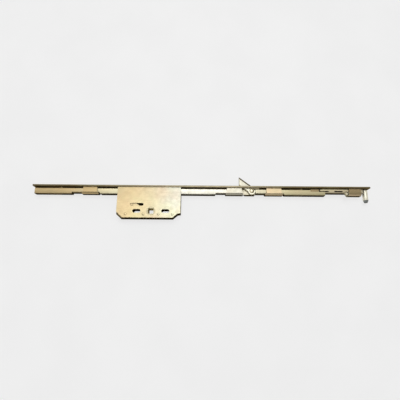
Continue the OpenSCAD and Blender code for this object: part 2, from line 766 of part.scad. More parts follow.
// The hook's body round its pivot, blade to the left, as it lies when it is in
module hook_body() {
    rod_z(0, 0, hook_back, hook_front, hook_root_r);
    along_z(hook_back, hook_front) polygon([
        [0, hook_edge - hook_w], [-hook_low, hook_edge - hook_w],
        [-hook_reach, hook_edge], [0, hook_edge]]);
}

// What is cut off the root so that it slides under the faceplate
module hook_flat() {
    rise = max(hook_root_r, hook_edge) + past - hook_flat_y;
    along_z(hook_back - past, hook_front + past) polygon([
        [-hook_flat_len, hook_flat_y], [hook_root_r + past, hook_flat_y],
        [hook_root_r + past, hook_flat_y + rise], [-hook_flat_len - rise, hook_flat_y + rise]]);
}

// What is cut off along the blade's outer edge to bevel it
module hook_bevel() {
    along_x(-hook_reach - past, hook_root_r + past) polygon([
        [hook_edge + past, hook_front + past],
        [hook_edge - hook_bevel_w * (1 + past / hook_bevel_t), hook_front + past],
        [hook_edge + past, hook_front - hook_bevel_t * (1 + past / hook_bevel_w)]]);
}

module hook() {
    color("#e4d7a4") translate([hook_x, hook_y, 0]) rotate([0, 0, -hook_out_angle]) difference() {
        hook_body();
        hook_flat();
        hook_bevel();
        rod_z(0, 0, hook_back - past, hook_front + past, hook_pin_r + turn_fit);
    }
}

module hook_pin() {
    head_back = hook_front + turn_fit;
    head_front = head_back + hook_head_h;
    color("#cdbd8c") difference() {
        union() {
            rod_z(hook_x, hook_y, -bar_front, head_back, hook_pin_r);
            rod_z(hook_x, hook_y, head_back, head_front, hook_head_r);
        }
        rod_z(hook_x, hook_y, head_front - pin_dimple, head_front + past, hook_head_r / 2);
    }
}

module coupling_block() {
    color("#8d7d5c") difference() {
        block([coupling_left_x, shelf_y, -rod_front], [coupling_left_x + coupling_len, rod_top, rod_front]);
        rod_y(coupling_rivet_x, 0, shelf_y - past, rod_top + past, lap_rivet_r + seat_fit);
    }
}

module coupling_rivet() {
    color("#a8996a") {
        rod_y(coupling_rivet_x, 0, bar_bottom, rod_top, lap_rivet_r);
        rod_y(coupling_rivet_x, 0, bar_bottom, coupling_rivet_seat, coupling_rivet_head_r);
    }
}

module end_rod() {
    slots = [[rod_slot_1_x, rod_slot_1_len], [rod_slot_2_x, rod_slot_2_len]];
    color("#a8956a") difference() {
        union() {
            block([bar_right + seat_fit, rod_bottom, -rod_front], [rod_right_x, rod_top, rod_front]);
            along_z(-rod_front, rod_front) polygon([
                [bar_right + past, nose_bottom], [bar_right + past, rod_top],
                [nose_x + nose_slant, rod_top], [nose_x, nose_bottom]]);
            block([bar_right - lap_len, lap_bottom, slide_fit - bar_front], [bar_right + past, shelf_y, 0]);
        }
        for (s = slots) translate([s[0] + s[1] / 2, rod_slot_bottom + rod_slot_h / 2, 0])
            along_z(0, rod_w) obround(s[1], rod_slot_h);
        for (x = lap_rivet_x) rod_z(x, lap_rivet_y, -bar_w, bar_w, lap_rivet_r + seat_fit);
        block([rod_right_x - bolt_tongue_len - slide_fit, rod_bottom - past, -bolt_tongue_t / 2 - seat_fit],
            [rod_right_x + past, rod_top + past, bolt_tongue_t / 2 + seat_fit]);
        rod_z(bolt_rivet_x, rod_mid, -rod_w, rod_w, bolt_rivet_r + seat_fit);
    }
}

module lap_rivets() {
    color("#a8996a") for (x = lap_rivet_x)
        rod_z(x, lap_rivet_y, slide_fit - bar_front, bar_front, lap_rivet_r);
}

// A round bolt with a tapered end, hung in the forked end of the rod
module end_bolt() {
    taper_top = rod_top - bolt_len;
    color("#d9d3ab") difference() {
        union() {
            rod_y(bolt_x, 0, taper_top, rod_top, bolt_r);
            translate([bolt_x, taper_top - bolt_taper, 0]) rotate([-90, 0, 0])
                cylinder(h = bolt_taper, r1 = bolt_tip_r, r2 = bolt_r);
            block([rod_right_x - bolt_tongue_len, rod_bottom + bolt_tongue_step, -bolt_tongue_t / 2],
                [bolt_x, rod_top - bolt_tongue_step, bolt_tongue_t / 2]);
        }
        rod_z(bolt_rivet_x, rod_mid, -rod_w, rod_w, bolt_rivet_r + seat_fit);
    }
}

module end_bolt_rivet() {
    color("#cdbd8c") {
        rod_z(bolt_rivet_x, rod_mid, -rod_front, rod_front, bolt_rivet_r);
        rod_z(bolt_rivet_x, rod_mid, rod_front, rod_front + bolt_rivet_head_h, bolt_rivet_head_r);
        rod_z(bolt_rivet_x, rod_mid, -rod_front - bolt_rivet_head_h, -rod_front, bolt_rivet_head_r);
    }
}

faceplate();
gearbox_case();
gearbox_cover();
gearbox_rivets();
screw_post_left();
screw_post_right();
follower_pinion();
rack_slider();
slider_pin();
rack_pins();
drive_bar();
guide_strap_1();
guide_strap_2();
guide_strap_3();
guide_strap_4();
guide_stud();
hook();
hook_pin();
coupling_block();
coupling_rivet();
end_rod();
lap_rivets();
end_bolt();
end_bolt_rivet();
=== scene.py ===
"""Plated finishes, rounded edges and a photo stage for a cremone bolt with a rack gearbox."""
import json
import math

import bmesh
import bpy
from bpy.props import FloatProperty, FloatVectorProperty, PointerProperty
from mathutils import Matrix, Vector


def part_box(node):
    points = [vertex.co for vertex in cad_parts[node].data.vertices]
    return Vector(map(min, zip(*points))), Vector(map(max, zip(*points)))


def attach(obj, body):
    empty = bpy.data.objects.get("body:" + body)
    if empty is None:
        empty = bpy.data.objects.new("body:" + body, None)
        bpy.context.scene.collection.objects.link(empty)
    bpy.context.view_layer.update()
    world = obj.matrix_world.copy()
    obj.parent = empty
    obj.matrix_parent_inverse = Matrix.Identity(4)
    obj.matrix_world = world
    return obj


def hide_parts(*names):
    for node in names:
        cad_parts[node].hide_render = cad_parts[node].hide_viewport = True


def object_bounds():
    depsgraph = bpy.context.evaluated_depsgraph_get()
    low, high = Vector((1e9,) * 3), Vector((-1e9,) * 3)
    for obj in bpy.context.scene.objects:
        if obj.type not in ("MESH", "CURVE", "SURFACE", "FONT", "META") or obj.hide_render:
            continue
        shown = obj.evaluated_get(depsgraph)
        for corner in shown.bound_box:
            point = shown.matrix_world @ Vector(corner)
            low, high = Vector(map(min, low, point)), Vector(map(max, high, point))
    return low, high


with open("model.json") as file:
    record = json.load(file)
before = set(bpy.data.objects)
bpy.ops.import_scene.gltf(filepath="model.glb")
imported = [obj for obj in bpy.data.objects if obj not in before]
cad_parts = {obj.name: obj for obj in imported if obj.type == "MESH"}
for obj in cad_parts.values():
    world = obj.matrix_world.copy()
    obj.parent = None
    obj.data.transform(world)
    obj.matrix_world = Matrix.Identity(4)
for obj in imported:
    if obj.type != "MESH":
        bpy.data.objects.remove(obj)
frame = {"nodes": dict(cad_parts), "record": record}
CAD_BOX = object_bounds()

bl_info = {
    "name": "Cremone Bolt",
    "version": (1, 0, 0),
    "blender": (4, 5, 0),
    "location": "3D View > Sidebar > Bolt",
    "description": "Finishes and rounded edges for a cremone bolt with a rack gearbox",
    "category": "Object",
}

MM = 0.001
X_AXIS, Y_AXIS = 0, 1

# Vertices of a solid's loose triangles that lie closer than this are the same corner
SAME_CORNER = 0.002 * MM
# Neighbouring triangles that bend less than this are one flat face
FLAT = math.radians(0.5)
# Edges that bend more than this are rounded, and stay sharp in the shading where they aren't
SHARP = math.radians(30)
# Faces with more area than this are broad and flat, and keep a flat shading
BROAD = 12 * MM * MM
# An edge runs along an axis if at least this share of its direction does
ALONG = 0.99
# Faces across a rounded edge, around a turned shape, up a domed head and up the floor's rim
ROUND_STEPS = 3
TURN_STEPS = 40
DOME_STEPS = 6
RIM_STEPS = 12

# Sizes of the film's patterns, in mm. On the real bolt rolling lines are 0.1 mm apart and the
# plating's grain is 0.05 mm wide: both are drawn coarser here, so that they show
PINK_CLOUD_MM = 34
GREEN_CLOUD_MM = 26
ROLLING_LINE_MM = 0.7
RUBBED_SPOT_MM = 3
WORN_EDGE_MM = 0.5
MATT_PATCH_MM = 6
GRAIN_MM = 0.6
GRAIN_DEPTH_MM = 0.02
FLOOR_PATCH_MM = 90
# Noise levels between which a pattern fades in
CLOUD_FADE = (0.4, 0.8)
LINE_FADE = (0.3, 0.7)
SPOT_FADE = (0.35, 0.65)
MATT_FADE = (0.25, 0.75)
# Moves the green clouds away from the pink ones, in metres
GREEN_SHIFT = (0.11, 0.07, 0.05)
# Stretches the rolling lines along the part
LINE_STRETCH = (0.05, 1.0, 1.0)
# How alike the rounded and the flat normal are where the wear of an edge begins and is full
EDGE_LIKENESS = (0.99, 0.8)
# How far the roughness of a film goes up and down
MATT_SPREAD = 0.03

# How far a face's normal points frontward, along Y, or outward, along Z, where that decides on
# its finish or on its painted shade
STRIP_FRONTWARD = 0.5
COVER_OUTWARD = 0.3
HUB_RIM_OUTWARD = (0.1, 0.97)
POCKET_FRONTWARD = (-0.97, -0.25)
POCKET_OUTWARD = 0.1
LAST_STRAP_FRONTWARD = -0.5
LAST_STRAP_OUTWARD = -0.1
HOOK_EDGE_FRONTWARD = 0.2
HOOK_EDGE_OUTWARD = (-0.1, 0.9)
ROD_RECESS_OUTWARD = 0.9
# The rod's recess lies under this share of the height of its outer face
ROD_RECESS_SHARE = 0.5
# Square to the brink beyond which the rack is painted in shade
SHADE_LEAN = Vector((0.56, 0.83, 0))

# Rings of an upset head, as shares of its radius: crown, rim, and the groove's walls at the top
# and at the floor
CROWN = 0.3
RIM = 0.96
GROOVE_TOP = (0.52, 0.84)
GROOVE_FLOOR = (0.54, 0.82)
# Where the groove's painted shade begins and ends, and how far right of the middle it begins
GROOVE_FINISH = (0.5, 0.85)
SHADE_SIDE = 0.1

# The camera looks down on the gearbox's cover, tilted so that it sees the bolt's rear edge too
CAMERA_TILT = math.radians(15)
CAMERA_ROLL = 0.0083
CAMERA_AIM = Vector((74.53, 9.75, 7.0)) * MM
CAMERA_DISTANCE = 477.5 * MM
CAMERA_LENS = 28.8
CAMERA_SENSOR = 36
CAMERA_SHIFT = (-0.0025, 0.0125)
CAMERA_NEAR = 10 * MM

BODY_OF = {
    node: body
    for body, nodes in frame["record"]["behaviour"]["bodies"].items()
    for node in nodes
}


def linear(code):
    """The linear colour of an sRGB hex value such as #c0ffee."""
    parts = [int(code[i:i + 2], 16) / 255 for i in (1, 3, 5)]
    return [p / 12.92 if p <= 0.04045 else ((p + 0.055) / 1.055) ** 2.4 for p in parts]


def length(name, description, millimetres):
    """A size property, given in millimetres."""
    return FloatProperty(
        name=name, description=description, default=millimetres * MM, min=0, precision=5,
        unit="LENGTH",
    )


def colour(name, description, code):
    """A colour property, given as an sRGB hex value."""
    return FloatVectorProperty(
        name=name, description=description, default=linear(code), size=3, min=0, max=1,
        subtype="COLOR",
    )


class BoltSizes(bpy.types.PropertyGroup):
    """Edge rounds and head heights of the pieces."""

    strip_round: length("Strip round", "Round of the faceplate's sheared edges", 0.35)
    bar_round: length("Bar round", "Round of the bar's long edges away from the faceplate", 0.8)
    bar_top_round: length("Bar top round", "Round of the bar's long edges by the faceplate", 0.3)
    pocket_round: length("Pocket round", "Round of the lower edge of the hook's pocket", 2.0)
    rod_round: length("Rod round", "Round of the end rod's edges", 0.5)
    sheet_round: length("Sheet round", "Round of the stamped sheet's edges", 0.25)
    strap_round: length("Strap round", "Outer round of the straps where they fold", 0.45)
    hook_round: length("Hook round", "Round of the hook's stamped edges", 0.35)
    pin_round: length("Pin round", "Round of the pins' turned edges", 0.3)
    hub_round: length("Hub round", "Round of the hub's rim in the gearbox cover", 0.5)
    inner_round: length("Inner round", "Round of the edges inside the gearbox", 0.15)
    # Painted shade: the rack is left without it for this reach right of the slider pin
    grease_free: length("Grease-free", "Clean part of the rack right of the slider pin", 4.6)
    head_rise: length("Head rise", "How high a rivet's domed head stands over its rim", 0.5)
    bolt_tip: length("Bolt tip", "Length of the end bolt's tapered tip", 3.6)
    hook_shank: length("Hook pin shank", "Radius of the pin that the hook turns on", 2.0)
    stud_shank: length("Stud shank", "Radius of the stud's shank", 1.6)
    head_height: length("Head height", "Height of the hook pin's and the stud's heads", 0.8)
    head_brim: length("Head brim", "How far upsetting spreads those heads", 0.7)
    head_groove: length("Head groove", "Depth of the groove in those heads", 0.7)


class BoltFinishes(bpy.types.PropertyGroup):
    """Colours of the plated metal, and of the painted shade on it."""

    bar_left: colour("Bar, left", "Thick golden film at the bar's left end", "#fadfa9")
    bar_golden: colour("Bar, golden", "Bright golden film left of the gearbox", "#fff7d2")
    bar_middle: colour("Bar, middle", "Thin pale film right of the gearbox", "#e8e5d8")
    bar_right: colour("Bar, right", "Olive film at the bar's right end", "#dcd1a8")
    rod_film: colour("Rod", "Tan film on the end rod", "#f7e8c4")
    strap_left: colour("Strap, left", "Golden film on the first strap", "#ebcf9b")
    strap_middle: colour("Strap, middle", "Pale film on the second strap", "#d5d1c0")
    hook_film: colour("Hook", "Pale film on the hook", "#dedac8")
    strap_right: colour("Strap, right", "Pinkish film on the third strap", "#e9d1ab")
    cover_left: colour("Cover, left", "Golden film on the left of the cover", "#e2cda0")
    cover_middle: colour("Cover, middle", "Tan film in the middle of the cover", "#d4c7a4")
    cover_right: colour("Cover, right", "Cream film on the right of the cover", "#cccaba")
    edge_dull: colour("Edge, ends", "Dull film on the ends of the sheared edges", "#7f7252")
    edge_bright: colour("Edge, middle", "Paler film amid the sheared edges", "#b3a88c")
    pink_cloud: colour("Pink cloud", "Pink clouds in the film", "#e0bfa0")
    green_cloud: colour("Green cloud", "Green clouds in the film", "#d2d8aa")
    # Painted shade: the dark colour of faces that turn away from the light, also used for the
    # painted shade in gaps, slots and recesses
    sides: colour("Sides", "Dark film on the narrow sides", "#453b25")
    glancing: colour("Glancing", "Tint of the film where light only glances off it", "#7a6a48")
    # Painted shade: the dark olive brown of the case and of other faces that turn away from the
    # light
    case_film: colour("Case film", "Heavier film on the gearbox case", "#64573a")
    bronze_film: colour("Bronze film", "Dark film on the last strap and the block", "#b29f7a")
    pins: colour("Pins", "Bright zinc of rivets and pins", "#eee4c2")
    bare_zinc: colour("Bare zinc", "Zinc that shows where the film has worn off", "#e9e6da")
    inner: colour("Inner steel", "Dull zinc of the pieces inside the gearbox", "#c9bf9c")
    hub_film: colour("Hub", "Dull film on the turning hub", "#b3aa8b")
    bolt_body: colour("End bolt", "Cream film on the end bolt", "#fffbe8")
    # Painted shade: the grey of the end bolt's tip stands in for the shade under it
    bolt_tip: colour("Bolt tip", "Grey hardened tip of the end bolt", "#8b8e8b")


class BoltStage(bpy.types.PropertyGroup):
    """The floor, the lamp and the room's light."""

    floor: colour("Floor", "Colour of the pale floor", "#f8f8f8")
    floor_patch: colour("Floor patches", "Colour of the floor's faint patches", "#f6f6f6")
    sky: colour("Room", "Even light from the room", "#9c9c9c")
    lamp_size: length("Lamp size", "Side of the soft lamp", 520)
    lamp_height: length("Lamp height", "Height of the soft lamp over the bolt", 1100)
    lamp_power: FloatProperty(
        name="Lamp power", description="Power of the soft lamp", default=4.8, unit="POWER"
    )
    floor_glow: FloatProperty(
        name="Floor glow", description="Share of the floor that looks evenly lit", default=0.8,
        min=0, max=1,
    )
    floor_flat: length("Flat floor", "Radius of the flat part of the floor", 1600)
    floor_reach: length("Floor reach", "Radius at the top of the floor's raised rim", 2600)
    floor_rim: length("Floor rim", "Height of the floor's raised rim", 2200)


def add(tree, kind, inputs=None, **settings):
    """Adds a shader node with its settings, and fills its sockets with values or links."""
    node = tree.nodes.new("ShaderNode" + kind)
    for name, value in settings.items():
        setattr(node, name, value)
    for name, value in (inputs or {}).items():
        socket = node.inputs[name]
        if isinstance(value, bpy.types.NodeSocket):
            tree.links.new(value, socket)
        else:
            socket.default_value = value
    return node


def blank(name):
    """A new material with its node tree, its surface shader and the object coordinates."""
    material = bpy.data.materials.new(name)
    material.use_nodes = True
    tree = material.node_tree
    tree.nodes.clear()
    shader = add(tree, "BsdfPrincipled")
    add(tree, "OutputMaterial", {"Surface": shader.outputs["BSDF"]})
    coords = add(tree, "TexCoord").outputs["Object"]
    return material, tree, shader, coords


def rgba(values):
    """A colour with full alpha, as a node's socket takes it."""
    return [*values, 1.0]


def patch(tree, coords, size_mm, fade, detail=2.0):
    """A mask from 0 to 1 of soft patches about as wide as the given size."""
    noise = add(
        tree, "TexNoise", {"Vector": coords, "Scale": 1 / (size_mm * MM), "Detail": detail}
    ).outputs["Fac"]
    return add(
        tree, "MapRange", {"Value": noise, "From Min": fade[0], "From Max": fade[1]},
        interpolation_type="SMOOTHSTEP",
    ).outputs["Result"]


def drifting(tree, coords, films):
    """A tint that drifts along the part from film to film."""
    along = add(tree, "SeparateXYZ", {0: coords}).outputs["X"]
    tint = rgba(films[0][1])
    for (start, _), (end, film) in zip(films, films[1:]):
        far = add(
            tree, "MapRange", {"Value": along, "From Min": start * MM, "From Max": end * MM}
        ).outputs[0]
        tint = add(tree, "Mix", {0: far, 6: tint, 7: rgba(film)}, data_type="RGBA").outputs[2]
    return tint


def clouded(tree, coords, tint, strength):
    """The tint with soft pink and green clouds."""
    look = bpy.context.scene.bolt_finishes
    moved = add(tree, "VectorMath", {0: coords, 1: GREEN_SHIFT}).outputs["Vector"]
    clouds = (
        (coords, PINK_CLOUD_MM, look.pink_cloud),
        (moved, GREEN_CLOUD_MM, look.green_cloud),
    )
    for where, width, film in clouds:
        soft = patch(tree, where, width, CLOUD_FADE)
        share = add(tree, "Math", {0: soft, 1: strength}, operation="MULTIPLY").outputs[0]
        tint = add(tree, "Mix", {0: share, 6: tint, 7: rgba(film)}, data_type="RGBA").outputs[2]
    return tint


def rolled(tree, coords, tint, depth):
    """The tint with fine darker lines along the part."""
    drawn = add(tree, "Mapping", {"Vector": coords, "Scale": LINE_STRETCH}).outputs["Vector"]
    streaks = patch(tree, drawn, ROLLING_LINE_MM, LINE_FADE)
    level = add(tree, "MapRange", {"Value": streaks, "To Min": 1.0 - depth}).outputs[0]
    return add(
        tree, "VectorMath", {0: tint, "Scale": level}, operation="SCALE"
    ).outputs["Vector"]


def worn(tree, coords, tint, wear):
    """The tint with spots of bare zinc along the edges."""
    look = bpy.context.scene.bolt_finishes
    flat = add(tree, "NewGeometry").outputs["True Normal"]
    rounded = add(tree, "Bevel", {"Radius": WORN_EDGE_MM * MM}, samples=6).outputs["Normal"]
    likeness = add(
        tree, "VectorMath", {0: rounded, 1: flat}, operation="DOT_PRODUCT"
    ).outputs["Value"]
    begins, full = EDGE_LIKENESS
    edge = add(
        tree, "MapRange", {"Value": likeness, "From Min": begins, "From Max": full, "To Max": wear}
    ).outputs[0]
    spots = patch(tree, coords, RUBBED_SPOT_MM, SPOT_FADE)
    rubbed = add(tree, "Math", {0: edge, 1: spots}, operation="MULTIPLY").outputs[0]
    return add(
        tree, "Mix", {0: rubbed, 6: tint, 7: rgba(look.bare_zinc)}, data_type="RGBA"
    ).outputs[2]


def shaded(tree, coords, tint, fall, fold):
    """Painted light and shade: the tint brighter or duller across the part, darker along a fold."""
    across = add(tree, "SeparateXYZ", {0: coords}).outputs["Y"]
    levels = []
    if fall:
        low, high, dim, full = fall
        levels.append(add(
            tree, "MapRange",
            {"Value": across, "From Min": low * MM, "From Max": high * MM,
             "To Min": dim, "To Max": full},
        ))
    if fold:
        line, reach, dim = fold
        beside = add(tree, "Math", {0: across, 1: line * MM}, operation="SUBTRACT").outputs[0]
        away = add(tree, "Math", {0: beside}, operation="ABSOLUTE").outputs[0]
        levels.append(add(
            tree, "MapRange", {"Value": away, "From Max": reach * MM, "To Min": dim}
        ))
    for level in levels:
        tint = add(
            tree, "VectorMath", {0: tint, "Scale": level.outputs[0]}, operation="SCALE"
        ).outputs["Vector"]
    return tint


def dark_sided(tree, tint, sides):
    """The tint with painted shade: a dark colour where the surface turns away from Z."""
    look = bpy.context.scene.bolt_finishes
    normal = add(tree, "TexCoord").outputs["Normal"]
    slope = add(tree, "SeparateXYZ", {0: normal}).outputs["Z"]
    steep = add(tree, "Math", {0: slope}, operation="ABSOLUTE").outputs[0]
    begins, full = sides
    dark = add(
        tree, "MapRange", {"Value": steep, "From Min": begins, "From Max": full}
    ).outputs[0]
    return add(
        tree, "Mix", {0: dark, 6: tint, 7: rgba(look.sides)}, data_type="RGBA"
    ).outputs[2]


def make_satin(tree, coords, shader, roughness):
    """Makes a shader unevenly matt, with a fine grain."""
    patches = patch(tree, coords, MATT_PATCH_MM, MATT_FADE, detail=4.0)
    matt = add(
        tree, "MapRange",
        {"Value": patches, "To Min": roughness - MATT_SPREAD, "To Max": roughness + MATT_SPREAD},
    ).outputs[0]
    tree.links.new(matt, shader.inputs["Roughness"])
    grain = add(
        tree, "TexNoise", {"Vector": coords, "Scale": 1 / (GRAIN_MM * MM), "Detail": 3.0}
    ).outputs["Fac"]
    bump = add(
        tree, "Bump", {"Height": grain, "Strength": 0.25, "Distance": GRAIN_DEPTH_MM * MM}
    ).outputs["Normal"]
    tree.links.new(bump, shader.inputs["Normal"])


# Yellow chromate over zinc plate: a thin film whose tint drifts along the part from gold to
# cream and olive, with soft pink and green clouds, fine rolling lines and bright zinc along the
# worn edges, and with painted light and shade: dark on the narrow sides, brighter or duller
# across the part, darker along folds
def chromate(
    name, films, roughness, clouds=0.4, lines=0.08, wear=0.5, sides=(0.8, 0.1), fall=None, fold=None
):
    """A chromate finish. films are pairs of a place along the part, in mm, and the tint there.

    clouds, lines and wear are how strong the clouds, the rolling lines and the worn edges are.
    sides are the slopes towards Z at which the painted shade of a narrow side begins and is full.
    fall is a low and a high place across the part, in mm, and how bright the painted light and
    shade make the film at each.
    fold is the place across the part of a painted shade line along a fold, in mm, half its width
    and how bright it is.
    """
    look = bpy.context.scene.bolt_finishes
    material, tree, shader, coords = blank(name)
    tint = drifting(tree, coords, films)
    tint = clouded(tree, coords, tint, clouds)
    tint = rolled(tree, coords, tint, lines)
    tint = worn(tree, coords, tint, wear)
    tint = shaded(tree, coords, tint, fall, fold)
    if sides:
        tint = dark_sided(tree, tint, sides)
    tree.links.new(tint, shader.inputs["Base Color"])
    shader.inputs["Metallic"].default_value = 1.0
    shader.inputs["Specular Tint"].default_value = rgba(look.glancing)
    make_satin(tree, coords, shader, roughness)
    return material


# Drawn bar: long fine lines, golden on the left, almost white past the gearbox, olive on the
# right, with painted light by the faceplate and painted shade towards the other edge and on the
# narrow sides
def yellow_chromate_bar(name, look):
    films = [
        (-130, look.bar_left), (-55, look.bar_golden), (-45, look.bar_golden),
        (40, look.bar_middle), (105, look.bar_middle), (205, look.bar_right),
    ]
    return chromate(
        name, films, 0.5, clouds=0.2, lines=0.12, sides=(0.9, 0.45), fall=(27.8, 35.5, 0.72, 1.12)
    )


# Stamped rod: tan, with painted light by the faceplate and painted shade along its other edge
# and on its narrow sides
def yellow_chromate_rod(name, look):
    return chromate(
        name, [(0, look.rod_film)], 0.5, clouds=0.1, sides=(0.6, 0.0), fall=(31.4, 36, 0.5, 1.2)
    )


# Folded sheet: a pale film, pinkish on the third strap, with a painted shade line along the fold
def yellow_chromate_strap(name, look):
    films = [
        (-80, look.strap_left), (110, look.strap_middle), (150, look.strap_middle),
        (175, look.strap_right),
    ]
    return chromate(name, films, 0.5, clouds=0.25, fold=(29.0, 0.9, 0.35))


# Folded sheet with a thicker film: golden, with a dark painted shade line along the fold
def golden_chromate_strap(name, look):
    return chromate(name, [(0, look.strap_left)], 0.5, clouds=0.25, fold=(28.9, 0.9, 0.15))


# Stamped cover: satin, and soft clouds on a film that pales from gold to cream, with painted
# light a little brighter towards its lower edge
def yellow_chromate_cover(name, look):
    films = [(-28, look.cover_left), (0, look.cover_middle), (34, look.cover_right)]
    return chromate(name, films, 0.5, clouds=0.4, fall=(10, 34, 1.09, 0.97))


# Stamped hook: a pale film with a painted highlight at its root, where the faceplate shades it
def yellow_chromate_hook(name, look):
    return chromate(
        name, [(0, look.hook_film)], 0.5, clouds=0.2, sides=None, fall=(34, 42, 1.33, 0.9)
    )


# Rolled strip: a smoother face with strong lines, tinted as the bar is
def yellow_chromate_front(name, look):
    films = [
        (-130, look.bar_left), (-75, look.bar_golden), (40, look.bar_middle), (205, look.bar_right)
    ]
    return chromate(name, films, 0.45, lines=0.14, sides=None)


# Sheared edges: torn metal with deep lines, dull and olive, paler in the middle of the strip
def dull_sheared_steel(name, look):
    films = [
        (-125, look.edge_dull), (30, look.edge_bright), (150, look.edge_bright),
        (200, look.edge_dull),
    ]
    return chromate(name, films, 0.55, clouds=0.1, lines=0.2, wear=0.2, sides=None)


# Painted shade: a dark olive brown on the gearbox case, the cover's narrow sides and the hook's
# upper edges, which turn away from the light
def heavy_chromate_case(name, look):
    return chromate(name, [(0, look.case_film)], 0.55, clouds=0.1, wear=0.2)


# Last strap and block: a bronze film, with painted light by the faceplate and painted shade on
# the narrow sides
def bronze_chromate_steel(name, look):
    return chromate(
        name, [(0, look.bronze_film)], 0.5, clouds=0.1, wear=0.3, fall=(30, 36, 0.82, 1.2)
    )


# Turned bolt: cream and rather rough, so its light is one soft stripe, with painted shade a
# little darker towards its tip
def cream_chromate_bolt(name, look):
    return chromate(
        name, [(0, look.bolt_body)], 0.52, clouds=0.1, wear=0.2, sides=None,
        fall=(20, 26, 0.94, 1.0),
    )


# Painted shade: plain grey without clouds on the end bolt's tip, standing in for the shade under it
def grey_hardened_tip(name, look):
    return chromate(name, [(0, look.bolt_tip)], 0.5, clouds=0.0, wear=0.2, sides=None)


# Turned rivets and pins: bright zinc, the smoothest of the finishes
def bright_zinc_pins(name, look):
    return chromate(name, [(0, look.pins)], 0.42, clouds=0.2, wear=0.3)


# Painted shade: a dark brown standing in for the shade in gaps, slots and recesses, without
# clouds or wear
def dark_grease(name, look):
    return chromate(name, [(0, look.sides)], 0.5, clouds=0.0, wear=0.0)


# Turned hub: a duller film than the cover's around it
def yellow_chromate_hub(name, look):
    return chromate(name, [(0, look.hub_film)], 0.45, clouds=0.2, sides=None)


# Pieces inside and rims of upset heads: dull, rough zinc
def dull_zinc_inner(name, look):
    return chromate(name, [(0, look.inner)], 0.55, clouds=0.2, wear=0.3)


def finish(maker):
    """The material that a maker gives, made once."""
    name = maker.__name__
    return bpy.data.materials.get(name) or maker(name, bpy.context.scene.bolt_finishes)


def solid(node):
    """A node's solid, with its loose triangles joined into flat faces."""
    mesh = bmesh.new()
    mesh.from_mesh(frame["nodes"][node].data)
    bmesh.ops.remove_doubles(mesh, verts=mesh.verts, dist=SAME_CORNER)
    bmesh.ops.dissolve_limit(mesh, angle_limit=FLAT, verts=mesh.verts, edges=mesh.edges)
    return mesh


def soften(mesh, width, chosen=None):
    """Rounds the sharp edges, or those of them that are chosen."""
    edges = [
        edge for edge in mesh.edges
        if edge.is_manifold and edge.calc_face_angle(0) > SHARP
        and (chosen is None or chosen(edge))
    ]
    bmesh.ops.bevel(
        mesh, geom=edges, offset=width, offset_type="OFFSET", segments=ROUND_STEPS, profile=0.5,
        affect="EDGES", clamp_overlap=True, material=-1,
    )


def spun(profile, centre):
    """A shape turned about an upright axis. The profile is a list of radius and height pairs."""
    mesh = bmesh.new()
    verts = [mesh.verts.new((radius, 0, height)) for radius, height in profile]
    edges = [mesh.edges.new(pair) for pair in zip(verts, verts[1:])]
    bmesh.ops.spin(
        mesh, geom=verts + edges, cent=(0, 0, 0), axis=(0, 0, 1), angle=math.tau, steps=TURN_STEPS,
        use_merge=True,
    )
    bmesh.ops.remove_doubles(mesh, verts=mesh.verts, dist=SAME_CORNER)
    bmesh.ops.recalc_face_normals(mesh, faces=mesh.faces)
    bmesh.ops.translate(mesh, vec=centre, verts=mesh.verts)
    return mesh


def dome(radius, rise, base):
    """Profile points of a domed head from its rim to its top."""
    turns = [math.pi / 2 * step / DOME_STEPS for step in range(DOME_STEPS + 1)]
    return [(radius * math.cos(turn), base + rise * math.sin(turn)) for turn in turns]


def islands(node):
    """The lowest and highest corners of each separate solid in a node."""
    mesh = solid(node)
    left = set(mesh.verts)
    boxes = []
    while left:
        reached = {left.pop()}
        waiting = list(reached)
        while waiting:
            vert = waiting.pop()
            near = {edge.other_vert(vert) for edge in vert.link_edges} - reached
            reached |= near
            waiting.extend(near)
        left -= reached
        points = [vert.co.copy() for vert in reached]
        boxes.append([
            Vector([pick(point[axis] for point in points) for axis in range(3)])
            for pick in (min, max)
        ])
    mesh.free()
    return sorted(boxes, key=lambda box: box[0].x)


def join(shapes):
    """Several shapes in one."""
    whole = bmesh.new()
    for shape in shapes:
        held = bpy.data.meshes.new("held")
        shape.to_mesh(held)
        shape.free()
        whole.from_mesh(held)
        bpy.data.meshes.remove(held)
    return whole


def is_flat(face):
    """Whether a face is broad, or lies flush with a broad one."""
    flush = [edge for edge in face.edges if edge.calc_face_angle(math.pi) < FLAT]
    faces = [face] + [near for edge in flush for near in edge.link_faces]
    return any(near.calc_area() > BROAD for near in faces)


def place(mesh, node, finishes, which=None):
    """Makes the piece that stands for a node. which gives the number of each face's finish."""
    for edge in mesh.edges:
        edge.smooth = edge.calc_face_angle(math.pi) < SHARP
    for face in mesh.faces:
        face.smooth = not is_flat(face)
        face.material_index = which(face) if which else 0
    data = bpy.data.meshes.new(node + "_plated")
    mesh.to_mesh(data)
    mesh.free()
    for maker in finishes:
        data.materials.append(finish(maker))
    piece = bpy.data.objects.new(node + "_plated", data)
    bpy.context.scene.collection.objects.link(piece)
    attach(piece, BODY_OF[node])
    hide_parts(node)


def place_rounded(node, width, finishes, which=None):
    """Makes the piece that stands for a node from its solid, with the sharp edges rounded."""
    mesh = solid(node)
    soften(mesh, width)
    place(mesh, node, finishes, which)


